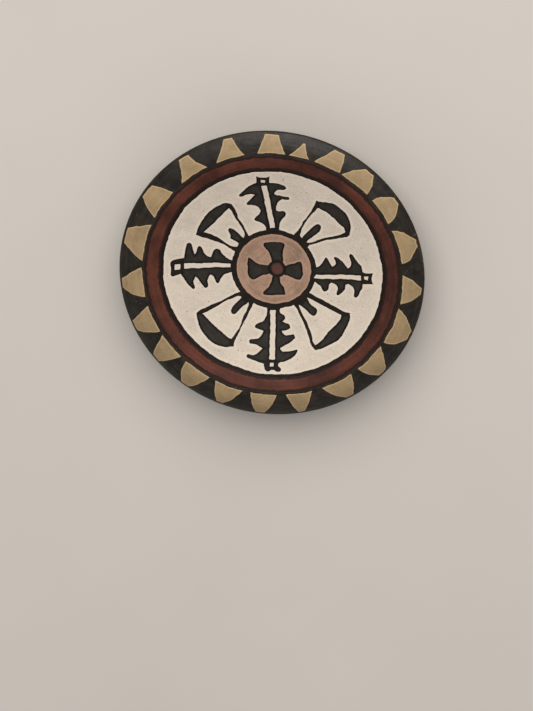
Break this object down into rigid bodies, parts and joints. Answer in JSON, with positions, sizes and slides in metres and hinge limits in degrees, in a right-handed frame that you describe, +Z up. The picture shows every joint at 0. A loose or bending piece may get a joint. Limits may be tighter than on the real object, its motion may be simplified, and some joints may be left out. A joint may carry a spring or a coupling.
{
  "type": "ink stick",
  "caption": "Round dished ink cake with a rounded rim and inlaid mineral colours: toothed border, red band, white field with feather and fan figures, pink hub.",
  "frame": {"origin": "middle of the flat base, on the surface that the cake stands on", "axes": "+Z up through the middle of the dish; +X towards the feather on the viewer's right, +Y towards the top feather"},
  "size_m": [0.06, 0.06, 0.012],
  "materials": {
    "ink_body": "satin pressed ink",
    "ink_line": "satin brushed ink",
    "white_slip": "matte",
    "red_slip": "satin",
    "pink_slip": "matte",
    "dot_slip": "satin",
    "charcoal_slip": "satin",
    "tan_slip": "matte"
  },
  "bodies": {
    "root": {"ink_cake": "ink_body", "line_work": "ink_line", "white_ground": "white_slip", "red_band": "red_slip", "hub_ground": "pink_slip", "hub_dot": "dot_slip", "quill_right": "white_slip", "quill_top": "white_slip", "quill_left": "white_slip", "quill_bottom": "white_slip", "quill_tip_right": "white_slip", "quill_tip_top": "white_slip", "quill_tip_left": "white_slip", "quill_tip_bottom": "white_slip", "vane_a_right": "charcoal_slip", "vane_a_top": "charcoal_slip", "vane_a_left": "charcoal_slip", "vane_a_bottom": "charcoal_slip", "vane_b_right": "charcoal_slip", "vane_b_top": "charcoal_slip", "vane_b_left": "charcoal_slip", "vane_b_bottom": "charcoal_slip", "fan_window_upper_right": "white_slip", "fan_window_upper_left": "white_slip", "fan_window_lower_left": "white_slip", "fan_window_lower_right": "white_slip", "fan_crescent_upper_right": "charcoal_slip", "fan_crescent_upper_left": "charcoal_slip", "fan_crescent_lower_left": "charcoal_slip", "fan_crescent_lower_right": "charcoal_slip", "fan_bar_upper_right": "charcoal_slip", "fan_bar_upper_left": "charcoal_slip", "fan_bar_lower_left": "charcoal_slip", "fan_bar_lower_right": "charcoal_slip", "cross_arm_right": "charcoal_slip", "cross_arm_top": "charcoal_slip", "cross_arm_left": "charcoal_slip", "cross_arm_bottom": "charcoal_slip", "rim_tooth_01": "tan_slip", "rim_tooth_02": "tan_slip", "rim_tooth_03": "tan_slip", "rim_tooth_04": "tan_slip", "rim_tooth_05": "tan_slip", "rim_tooth_06": "tan_slip", "rim_tooth_07": "tan_slip", "rim_tooth_08": "tan_slip", "rim_tooth_09": "tan_slip", "rim_tooth_10": "tan_slip", "rim_tooth_11": "tan_slip", "rim_tooth_12": "tan_slip", "rim_tooth_13": "tan_slip", "rim_tooth_14": "tan_slip", "rim_tooth_15": "tan_slip", "rim_tooth_16": "tan_slip", "rim_tooth_17": "tan_slip", "rim_tooth_18": "tan_slip", "rim_tooth_19": "tan_slip", "rim_tooth_20": "tan_slip", "rim_tooth_21": "tan_slip"}
  },
  "joints": []
}
